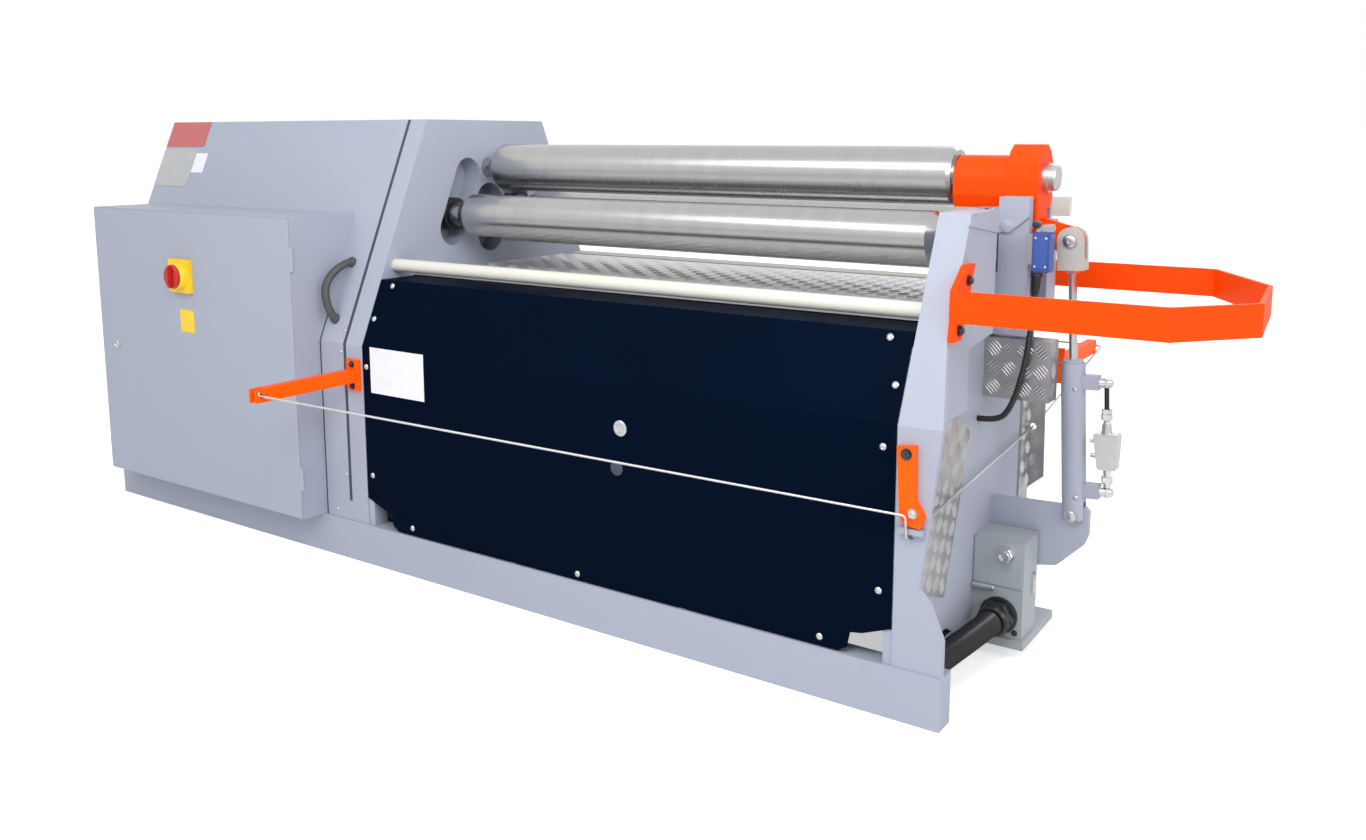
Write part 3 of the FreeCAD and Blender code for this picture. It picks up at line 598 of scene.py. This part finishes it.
def dress_treads():
    deck = tread_bars("deck_tread", (62, 1474), (-284, 316))
    moved(deck, basis(at(0, 0, DECK_TOP - 0.05), (1, 0, 0), (0, 1, 0)))
    # The deck takes the paler tread copy, painted light
    piece("deck_tread", deck, "frame", "painted_light_tread")
    front = tread_bars("box_tread_front", (2, 130), (2, 121))
    moved(front, basis(at(1500, -87, 545), (1, 0, 0), (0, 0, 1)))
    piece("box_tread_front", front, "frame", "aluminium")
    side = tread_bars("box_tread_side", (2, 51), (2, 121))
    moved(side, basis(at(1632, -87, 545), (0, 1, 0), (0, 0, 1)))
    piece("box_tread_side", side, "frame", "aluminium")
    dress_front_strip()
    rear = tread_bars("rear_strip_tread", (2, 66), (6, 272), 36)
    moved(rear, basis(at(1502, 166, 268), (0, 1, 0), (0, 0, 1)))
    piece("rear_strip_tread", rear, "frame", "aluminium")


# Screws, bolts and locks
def dress_fasteners():
    cover_screws = [(73, 509), (81, 234), (217, 123), (734, 119), (1329, 123), (1448, 242), (1450, 515)]
    spots = [(at(x, FRONT_Y, z), Vector((0, -1, 0))) for x, z in cover_screws]
    slope_screws = [(75, 625), (106, 705), (1430, 705), (1458, 625)]
    spots += [(on_slope(x, z), SLOPE_NORMAL) for x, z in slope_screws]
    mesh = scatter("cover_screws", spots, button_head(7.0, 4.0), "zinc")
    piece("cover_screws", mesh, "frame", "zinc")
    rear = [(at(x, 240, z), Vector((0, 1, 0))) for x in (80, 420, 766, 1110, 1455) for z in (130, 570)]
    mesh = scatter("rear_cover_screws", rear, button_head(7.0, 4.0), "zinc")
    piece("rear_cover_screws", mesh, "frame", "zinc")
    bolts = [(at(1552.5, slope_y(z) + 14, z), Vector((1, 0, 0))) for z in (725, 812)]
    bolts += [(at(1501, FRONT_Y - 14, 512), Vector((0, -1, 0)))]
    mesh = scatter("guard_bolts", bolts, hex_head(8.0, 7.0), "dark_steel")
    piece("guard_bolts", mesh, "frame", "dark_steel")
    arm_bolts = [(at(28, FRONT_Y - 8, z), Vector((0, -1, 0))) for z in (457, 512)]
    arm_bolts += [(at(28, 474, z), Vector((0, 1, 0))) for z in (515, 578)]
    mesh = scatter("arm_bolts", arm_bolts, hex_head(6.5, 6.0), "dark_steel")
    piece("arm_bolts", mesh, "frame", "dark_steel")


def screw_row(name, spots, body, shape, kind):
    """Fasteners at (place, direction) pairs, as one piece."""
    piece(name, scatter(name, spots, shape, kind), body, kind)


def disc_piece(name, place, axis, profile, body, kind):
    bm = bmesh.new()
    add_turned(bm, place, axis, profile)
    return piece(name, finish_mesh(name, bm), body, kind)


def dress_locks():
    disc_piece("cabinet_lock", at(-906, CABINET_FRONT, 479), (0, -1, 0),
               [(0, 13), (2.5, 13), (4, 11), (4, 8), (2, 7)], "door", "zinc")
    disc_piece("cover_lock", at(856, FRONT_Y, 465), (0, -1, 0),
               [(0, 17), (3, 17), (5, 14), (5, 10), (3, 9)], "frame", "zinc")
    disc_piece("cover_plug", at(845, FRONT_Y, 377), (0, -1, 0),
               [(0, 16), (1.5, 16), (3, 13)], "frame", "groove")


# Cylinder fittings
def on_cylinder(x, y, z):
    """A place given upright from the cylinder's base pin, leaned as the cylinder is."""
    lean_cos, lean_sin = math.cos(CYLINDER_TILT), math.sin(CYLINDER_TILT)
    return at(PIN[0] + x * lean_cos + z * lean_sin, PIN[1] + y, PIN[2] - x * lean_sin + z * lean_cos)


def along_cylinder(x, y, z):
    """A direction beside the leaned cylinder."""
    return (on_cylinder(x, y, z) - on_cylinder(0, 0, 0)).normalized()


def add_fitting(bm, foot, heading, profile, sides=28):
    add_turned(bm, on_cylinder(*foot), along_cylinder(*heading), profile, sides)


def add_tapered(bm, low, high, centre_x, depth):
    """A block whose width changes from low to high: each is (height, half width left, half width right)."""
    corners = []
    for height, left, right in (low, high):
        for side_y in (-depth, depth):
            corners.append([bm.verts.new(on_cylinder(centre_x + dx, side_y, height)) for dx in (-left, right)])
    (a, b), (c, d), (e, f), (g, h) = corners
    made = [bm.faces.new(face) for face in
            ((a, b, d, c), (e, g, h, f), (a, e, f, b), (c, d, h, g), (a, c, g, e), (b, f, h, d))]
    edges = {edge for face in made for edge in face.edges}
    bmesh.ops.bevel(bm, geom=list(edges), offset=2.5 * MM, segments=3, affect="EDGES")


def dress_valve():
    """The lock valve with its two ports, nuts, elbows and the short black hose."""
    bm = bmesh.new()
    for port_z in (52, 276):
        add_fitting(bm, (24, 0, port_z), (1, 0, 0), [
            (0, 13), (20, 13), (20, 9), (24, 9), (24, 10.5), (40, 10.5), (41, 9), (52, 9), (54, 6)])
    add_fitting(bm, (66, 0, 42), (0, 0, 1), [(0, 6), (2, 9), (18, 9), (20, 6)])
    add_fitting(bm, (66, 0, 266), (0, 0, 1), [(0, 6), (2, 9), (18, 9), (20, 6)])
    add_fitting(bm, (66, 0, 62), (0, 0, 1), [(0, 7), (8, 7), (8, 10), (22, 10), (22, 7), (28, 7), (40, 9.5)])
    add_fitting(bm, (66, 0, 172), (0, 0, 1), [(0, 11), (22, 9), (22, 6.5), (30, 6.5)])
    for nut_z in (72, 200):
        add_fitting(bm, (66, 0, nut_z), (0, 0, 1), [(0, 10), (1.5, 11.5), (12, 11.5), (13.5, 10)], 6)
    add_fitting(bm, (66, 0, 213), (0, 0, 1), [(0, 9), (1.5, 10.5), (9, 10.5), (10.5, 9)], 6)
    fittings = piece("valve_fittings", finish_mesh("valve_fittings", bm), "barrel", "chrome")
    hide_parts("cylinder_valve")
    bm = bmesh.new()
    add_tapered(bm, (100, 17, 20), (174, 24, 26), 66, 17)
    for nub_z in (128, 158):
        add_fitting(bm, (49, -6, nub_z), (-1, 0, 0), [(0, 5.5), (8, 5.5), (9, 4.5), (14, 4.5)], 20)
    piece("valve_block", finish_mesh("valve_block", bm), "barrel", "zinc")
    bm = bmesh.new()
    add_fitting(bm, (66, 0, 222), (0, 0, 1), [(0, 5), (46, 5)], 20)
    piece("valve_hose", finish_mesh("valve_hose", bm), "barrel", "rubber")


def dress_cylinder():
    """Port bosses' screws, the barrel's gland and the clevis pin's heads."""
    facing = along_cylinder(0.42, -0.9, 0)
    spots = [(on_cylinder(10, -21.4, z), facing) for z in (264, 40)]
    screw_row("barrel_screws", spots, "barrel", button_head(5.5, 4), "zinc")
    top = 617 - PIN[2]
    bm = bmesh.new()
    add_fitting(bm, (0, 0, top - 0.5), (0, 0, 1), [(0, 21), (5, 21), (6.5, 19), (6.5, 11), (9, 10.5)], 40)
    piece("barrel_gland", finish_mesh("barrel_gland", bm), "barrel", "lilac")
    reach = math.hypot(1640 - PIN[0], 863 - PIN[2])
    bm = bmesh.new()
    add_fitting(bm, (0, 0, 160), (0, 0, 1), [(0, 8.3), (reach - 218, 8.3)], 40)
    add_fitting(bm, (0, 0, reach - 64), (0, 0, 1), [(0, 12.5), (6, 12.5), (6.2, 11)], 6)
    piece("chromed_rod", finish_mesh("chromed_rod", bm), "rod", "chrome")
    for name, side in (("clevis_pin_front", -1), ("clevis_pin_back", 1)):
        bm = bmesh.new()
        add_fitting(bm, (0, side * 18.8, reach), (0, side, 0), [
            (0, 14.5), (2.5, 14.5), (2.5, 12), (4.5, 12), (5.5, 10.5), (5.5, 4), (4.6, 3)], 36)
        piece(name, finish_mesh(name, bm), "rod", "zinc")
    for name, side in (("base_pin_front", -1), ("base_pin_back", 1)):
        bm = bmesh.new()
        add_fitting(bm, (0, side * 22.8, 0), (0, side, 0), [(0, 13), (2.5, 13), (2.5, 10), (4.5, 10), (5.5, 8.5)], 32)
        piece(name, finish_mesh(name, bm), "barrel", "zinc")


# Limit switch
def dress_switch():
    """A plastic body on its bracket, with a metal head, roller and cable gland."""
    left, right, front, back = 1587, 1622, -93, -57
    centre_x = (left + right) / 2
    centre_y = (front + back) / 2
    bm = bmesh.new()
    add_block(bm, at(centre_x, centre_y, 845), (right - left, back - front, 80), None, 3)
    add_block(bm, at(centre_x, front - 0.5, 845), (right - left - 8, 3, 66), None, 1)
    body = piece("switch_body", finish_mesh("switch_body", bm), "frame", "blue")
    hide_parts("limit_switch")
    bm = bmesh.new()
    add_block(bm, at(1581, centre_y, 850), (12, 26, 60), None, 1)
    add_block(bm, at(centre_x + 8, centre_y + 2, 892), (22, 24, 14), None, 2)
    add_block(bm, at(1597, front + 9, 892), (9, 5, 26), None, 1)
    piece("switch_head", finish_mesh("switch_head", bm), "frame", "zinc")
    disc_piece("switch_roller", at(1593, front + 12, 899), (0, -1, 0),
               [(0, 7), (1, 8.5), (7, 8.5), (8, 7), (8, 3), (9.5, 2.5)], "frame", "dark_steel")
    disc_piece("switch_gland", at(1594, -75, 806), (0, -0.16, -1),
               [(0, 12), (12, 12), (13, 10), (34, 9), (46, 7.6)], "frame", "rubber")
    spots = [(at(x, front - 2, z), Vector((0, -1, 0))) for x in (left + 7, right - 7) for z in (817, 873)]
    screw_row("switch_screws", spots, "frame", button_head(2.6, 1.6), "zinc")


# Junction box
def dress_junction():
    """Lid, seam, bar, latch, glands and a button."""
    front = -102
    bm = bmesh.new()
    add_block(bm, at(1551, front - 1.5, 204), (104, 5, 98), None, 1.5)
    add_block(bm, at(1551, -58, 252.5), (108, 92, 5), None, 1.5)
    piece("junction_lid", finish_mesh("junction_lid", bm), "frame", "box_grey")
    bm = bmesh.new()
    add_turned(bm, at(1499, front - 7, 150), (1, 0, 0), [(0, 5.5), (1, 6.5), (46, 6.5), (47, 5.5)], 24)
    piece("junction_bar", finish_mesh("junction_bar", bm), "frame", "chrome")
    bm = bmesh.new()
    add_turned(bm, at(1568, front - 4, 226), (0, -1, 0), [(0, 17), (3, 17)], 32)
    add_turned(bm, at(1568, front - 6, 226), (0, -1, 0), [(0, 15), (1, 16), (9, 16), (10, 15)], 6)
    add_turned(bm, at(1568, front - 15, 226), (0, -1, 0), [(0, 12.5), (10, 12.5), (11, 11.5), (11, 9), (4, 8.5)], 32)
    piece("junction_gland", finish_mesh("junction_gland", bm), "frame", "chrome")
    bm = bmesh.new()
    add_turned(bm, at(1556, front, 92), (0, -1, 0), [(0, 39), (6, 39), (7, 37)], 40)
    add_turned(bm, at(1556, front - 6, 92), (0, -1, 0), [(0, 36), (2, 38), (20, 38), (23, 35.5)], 6)
    add_turned(bm, at(1556, front - 28, 92), (0, -1, -0.05), [(0, 33), (14, 33), (17, 30), (20, 28.5)], 40)
    piece("conduit_nut", finish_mesh("conduit_nut", bm), "frame", "rubber")
    disc_piece("junction_button", at(1590, front, 60), (0, -1, 0), [(0, 6), (2, 6), (3, 4.5)],
               "frame", "black")
    bm = bmesh.new()
    add_block(bm, at(1606, -40, 152), (4, 16, 46), None, 1)
    add_block(bm, at(1608, -40, 166), (5, 10, 12), None, 1)
    piece("junction_latch", finish_mesh("junction_latch", bm), "frame", "chrome")


# Right frame details
def dress_column():
    """The lip under the pivot block, and the slit with its keyhole and small holes as thin dark patches of painted
    shade on the wall.
    """
    wall = -72
    bm = bmesh.new()
    lip = [(1513, 878), (1546, 889), (1574.5, 913), (1574.5, 951), (1513, 951)]
    front = [bm.verts.new(at(x, wall - 5, z)) for x, z in lip]
    back = [bm.verts.new(at(x, wall + 1, z)) for x, z in lip]
    bm.faces.new(front)
    bm.faces.new(back[::-1])
    for index in range(len(lip)):
        after = (index + 1) % len(lip)
        bm.faces.new((front[index], back[index], back[after], front[after]))
    flank = [(-320, 908), (-163, 886), (-163, 929), (-266, 929), (-312, 914)]
    near = [bm.verts.new(at(1543, y, z)) for y, z in flank]
    far = [bm.verts.new(at(1539, y, z)) for y, z in flank]
    bm.faces.new(near)
    bm.faces.new(far[::-1])
    for index in range(len(flank)):
        after = (index + 1) % len(flank)
        bm.faces.new((near[index], far[index], far[after], near[after]))
    piece("pivot_lip", finish_mesh("pivot_lip", bm), "frame", "lilac")
    # The slit, keyhole and small holes are thin dark patches on the wall: painted shade where the openings are
    bm = bmesh.new()
    add_block(bm, at(1511.8, wall - 0.3, 843), (2.2, 1, 86))
    add_block(bm, at(1510, wall - 0.4, 809), (5, 1.2, 20), None, 0.3)
    for x, z in ((1503.6, 866), (1503.4, 853), (1572, 869)):
        add_turned(bm, at(x, wall - 0.2, z), (0, -1, 0), [(0, 2.2), (0.6, 2.2)], 16)
    piece("wall_slit", finish_mesh("wall_slit", bm), "frame", "groove")
    disc_piece("pivot_pin_front", at(1530, -71.8, 893), (0, -1, 0),
               [(0, 15), (3, 15), (4, 13), (6.5, 13), (7.5, 11)], "frame", "lilac")
    disc_piece("pivot_pin_back", at(1530, 71.8, 893), (0, 1, 0),
               [(0, 15), (3, 15), (4, 13), (6.5, 13), (7.5, 11)], "frame", "lilac")


def dress_trip():
    """The lever's lower screw, the ledge below it and the wire's guides."""
    disc_piece("lever_screw", at(1516, -480, 405), (0, -1, 0),
               [(0, 9), (1.5, 9), (1.5, 7), (6, 7), (7, 6), (7, 3), (5, 2.8)], "frame", "zinc")
    bm = bmesh.new()
    add_block(bm, at(1512, -472.5, 369.5), (46, 13, 12), None, 1.5)
    piece("lever_ledge", finish_mesh("lever_ledge", bm), "frame", "lilac")
    bm = bmesh.new()
    for x in (20, 39):
        add_block(bm, at(x, -748, 484), (5, 26, 30), None, 2)
    piece("arm_fork", finish_mesh("arm_fork", bm), "frame", "arm_orange")
    disc_piece("fork_pin", at(15.5, -751, 488), (1, 0, 0),
               [(0, 4), (0.6, 5), (27, 5), (28, 4)], "frame", "zinc")


def dress_small_screws():
    spots = [(on_slope(-18, 590), SLOPE_NORMAL)]
    spots += [(at(-19, FRONT_Y, z), Vector((0, -1, 0))) for z in (537, 221)]
    spots += [(at(-58, FRONT_Y, 124), Vector((0, -1, 0)))]
    screw_row("housing_screws", spots, "frame", button_head(4.5, 3), "zinc")
    ends = []
    for y, z in ((-127, 866.5), (127, 866.5), (0, 850)):
        ends.append((at(1494, y, z), Vector((1, 0, 0))))
    screw_row("journal_washers", ends[:1], "front_bending_roll",
               button_head(9, 2), "dark_steel")
    screw_row("rear_journal_washer", ends[1:2], "rear_bending_roll",
               button_head(9, 2), "dark_steel")
    screw_row("bottom_journal_washer", ends[2:], "pinch_roll",
               button_head(9, 2), "dark_steel")


# Handle on the narrow cover
def dress_handle():
    """A bowed grip of flat oval section with a foot at each end."""
    top_z, foot_z = 752, 614
    bow, steps, sides = 44, 36, 24
    bm = bmesh.new()
    rings = []
    for step in range(steps + 1):
        share = step / steps
        rise = 4 + bow * math.sin(math.pi * share) ** 0.7
        shift = -14 * math.sin(math.pi * share)
        centre = on_slope(-62 + shift, foot_z + (top_z - foot_z) * share, rise)
        swell = 0.5 + 0.5 * math.sin(math.pi * share) ** 0.4
        half_wide, half_thick = 12.5 - 1.5 * swell + 0.7 * math.cos(share * math.pi * 40), 9.5
        outward = SLOPE_NORMAL
        run = SLOPE_TURN @ Vector((0, 0, 1))
        slope = math.cos(math.pi * share) * 0.9
        face = (outward - run * slope).normalized()
        ring = []
        for side in range(sides):
            angle = 2 * math.pi * side / sides
            spot = Vector((1, 0, 0)) * math.cos(angle) * half_wide + face * math.sin(angle) * half_thick
            ring.append(bm.verts.new(centre + spot * MM))
        rings.append(ring)
    for lower, upper in zip(rings, rings[1:]):
        for side in range(sides):
            after = (side + 1) % sides
            bm.faces.new((lower[side], lower[after], upper[after], upper[side]))
    bm.faces.new(rings[0][::-1])
    bm.faces.new(rings[-1])
    for z in (top_z, foot_z):
        add_turned(bm, on_slope(-62, z, -0.2), SLOPE_NORMAL, [(0, 13), (7, 13), (11, 10)], 28)
    grip = piece("handle_grip", finish_mesh("handle_grip", bm, 50), "frame", "handle")
    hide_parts("cover_handle")


# Main switch
def dress_isolator():
    """The round yellow collar and the red handle on it."""
    axis_x, axis_z = -566, 700
    disc_piece("isolator_collar", at(axis_x, CABINET_FRONT - 11.8, axis_z), (0, -1, 0),
               [(0, 38), (2, 38), (15, 35), (16, 34)], "door", "yellow")
    bm = bmesh.new()
    add_turned(bm, at(axis_x, CABINET_FRONT - 28, axis_z), (0, -1, 0), [(0, 32), (6, 32), (8, 30)], 48)
    add_block(bm, at(axis_x, CABINET_FRONT - 40, axis_z), (15, 12, 58), None, 4)
    red = piece("isolator_handle", finish_mesh("isolator_handle", bm), "knob", "red")
    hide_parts("isolator_knob")


# Blank plates
def plate(name, centre, size, body, kind, turn=None):
    bm = bmesh.new()
    add_block(bm, centre, size, turn, 0.4)
    return piece(name, finish_mesh(name, bm), body, kind)


def dress_plates():
    plate("cover_plate", at(180, FRONT_Y - 0.6, 503), (185, 1.2, 114), "frame", "white")
    plate("cabinet_plate", at(-555, CABINET_FRONT - 0.6, 577), (62, 1.2, 62), "door", "yellow")
    plate("upper_plate", on_slope(-949, 1077, 0.6), (190, 1.2, 80),
          "frame", "plate_red", SLOPE_TURN)
    plate("middle_plate", on_slope(-961, 978, 0.6), (166, 1.2, 120),
          "frame", "plate_grey", SLOPE_TURN)
    plate("small_plate", on_slope(-850, 993, 0.6), (56, 1.2, 62), "frame", "white", SLOPE_TURN)


def dress_grooves():
    """Dark slate strips at the bottom of the housing's two gaps: painted shade in the gaps."""
    for name, x, width, foot, top in (("seal_right", -5.5, 10.6, 154, TOP_Z), ("seal_left", -98, 5.6, 103, 622)):
        bm = bmesh.new()
        add_block(bm, at(x, FRONT_Y + 1.4, (foot + BEND_Z) / 2), (width, 1.2, BEND_Z - foot))
        middle = (BEND_Z + top) / 2
        length = (top - BEND_Z) / math.cos(SLOPE_ANGLE)
        add_block(bm, on_slope(x, middle, -1.2), (width, 1.2, length), SLOPE_TURN)
        piece(name, finish_mesh(name, bm), "frame", "groove")


def make_stage():
    floor = bpy.data.meshes.new("floor")
    size = 30
    floor.from_pydata(
        [(-size, -size, 0), (size, -size, 0), (size, size, 0), (-size, size, 0)], [], [(0, 1, 2, 3)])
    obj = bpy.data.objects.new("floor", floor)
    bpy.context.collection.objects.link(obj)
    material = bpy.data.materials.new("floor_white")
    material.use_nodes = True
    tree = Tree(material)
    diffuse = tree.add("ShaderNodeBsdfDiffuse", {}, Color=(0.86, 0.86, 0.86))
    glow = tree.add("ShaderNodeEmission", {}, Color=(1, 1, 1), Strength=0.55)
    paths = tree.nodes.new("ShaderNodeLightPath")
    seen = Value(tree, paths.outputs["Is Camera Ray"])
    dark = tree.add("ShaderNodeEmission", {}, Color=(0, 0, 0), Strength=0.0)
    chosen = tree.add("ShaderNodeMixShader", {}, seen, dark, glow)
    total = tree.add("ShaderNodeAddShader", {}, diffuse, chosen)
    output = tree.nodes.new("ShaderNodeOutputMaterial")
    tree.links.new(total.socket, output.inputs[0])
    floor.materials.append(material)


def make_world():
    world = bpy.data.worlds.new("studio")
    bpy.context.scene.world = world
    world.use_nodes = True
    tree = Tree(world)
    paths = tree.nodes.new("ShaderNodeLightPath")
    seen = Value(tree, paths.outputs["Is Camera Ray"]).maths(
        "MAXIMUM", Value(tree, paths.outputs["Is Camera Ray"]), Value(tree, paths.outputs["Is Transmission Ray"]))
    gloss = Value(tree, paths.outputs["Is Glossy Ray"])
    strength = seen.maths("MAXIMUM", seen, gloss) * 0.20 + 0.80
    background = tree.add("ShaderNodeBackground", {}, Color=(1, 1, 1), Strength=strength)
    output = tree.nodes.new("ShaderNodeOutputWorld")
    tree.links.new(background.socket, output.inputs[0])


def make_light():
    make_world()
    make_lamp("key", (-1.2, -4.2, 4.2), (0, 0, 0.6), 3.2, 55)
    make_lamp("side", (4.6, -1.4, 2.4), (0.3, 0, 0.6), 2.6, 52)
    make_lamp("back", (0.5, 4.5, 3.6), (0, 0, 0.6), 3.0, 40)
    make_lamp("bay", (1.1, -1.7, 2.0), (-0.4, 0, 0.72), 1.2, 24)


bpy.context.scene.view_settings.view_transform = "Standard"
make_camera()
make_stage()
make_light()
dress_nodes()
dress_cords()
dress_treads()
dress_fasteners()
dress_locks()
dress_plates()
dress_grooves()
dress_valve()
dress_cylinder()
dress_switch()
dress_junction()
dress_column()
dress_trip()
dress_small_screws()
dress_isolator()
dress_handle()
